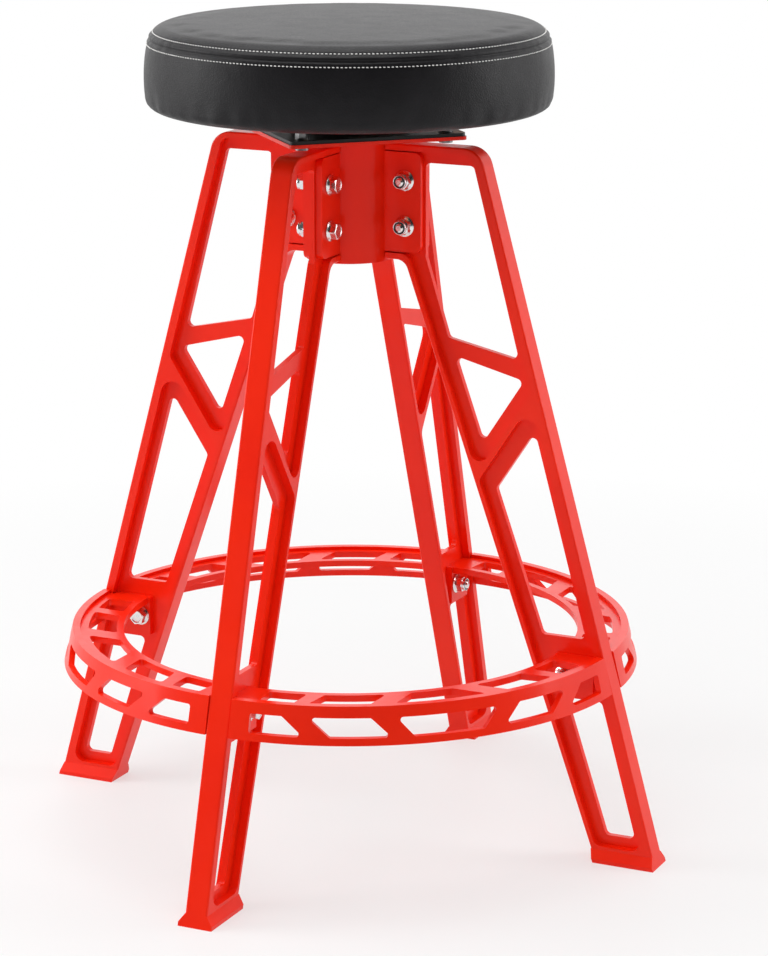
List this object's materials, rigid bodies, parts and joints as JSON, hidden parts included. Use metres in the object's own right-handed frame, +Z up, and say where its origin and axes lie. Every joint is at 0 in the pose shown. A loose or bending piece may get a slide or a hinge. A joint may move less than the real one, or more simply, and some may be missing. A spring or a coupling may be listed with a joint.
{
  "type": "swivel bar stool",
  "caption": "Round padded swivel bar stool on cast truss legs bolted round a central column, with a windowed foot ring and a ball-bearing swivel under the seat.",
  "frame": {"origin": "on the floor, under the middle of the seat", "axes": "+Z up along the swivel axis; +X towards leg_right and +Y towards leg_back"},
  "size_m": [0.6032, 0.6032, 0.729],
  "materials": {
    "red_paint": "semi-gloss enamel over a cast surface",
    "black_paint": "satin black enamel",
    "zinc_plate": "bright zinc plate",
    "black_nylon": "plain nylon",
    "ball_steel": "polished balls",
    "cage_steel": "plain pressed steel",
    "seat_leather": "black leather with a soft sheen",
    "plywood": "raw plywood",
    "dust_cloth": "black non-woven cloth"
  },
  "bodies": {
    "frame": {"hub_casting": "red_paint", "leg_right": "red_paint", "leg_back": "red_paint", "leg_left": "red_paint", "leg_front": "red_paint", "top_plate": "red_paint", "ring_back_right": "red_paint", "ring_back_left": "red_paint", "ring_front_left": "red_paint", "ring_front_right": "red_paint", "hub_bolts": "zinc_plate", "hub_nuts": "zinc_plate", "hub_nut_inserts": "black_nylon", "ring_bolts": "zinc_plate", "ring_nuts": "zinc_plate", "ring_nut_inserts": "black_nylon", "swivel_lower_plate": "black_paint", "swivel_bolts": "zinc_plate", "swivel_nuts": "zinc_plate", "swivel_washers": "zinc_plate", "swivel_balls": "ball_steel", "swivel_ball_cage": "cage_steel", "swivel_rivet": "zinc_plate"},
    "seat": {"swivel_upper_plate": "black_paint", "seat_board": "plywood", "seat_cushion": "seat_leather", "seat_dust_cover": "dust_cloth", "seat_screws": "zinc_plate", "seat_tee_nuts": "zinc_plate"}
  },
  "joints": [
    {"name": "seat_swivel", "type": "hinge", "parent": "frame", "child": "seat", "pos_m": [0, 0, 0.6447], "axis": [0, 0, 1], "continuous": true}
  ]
}
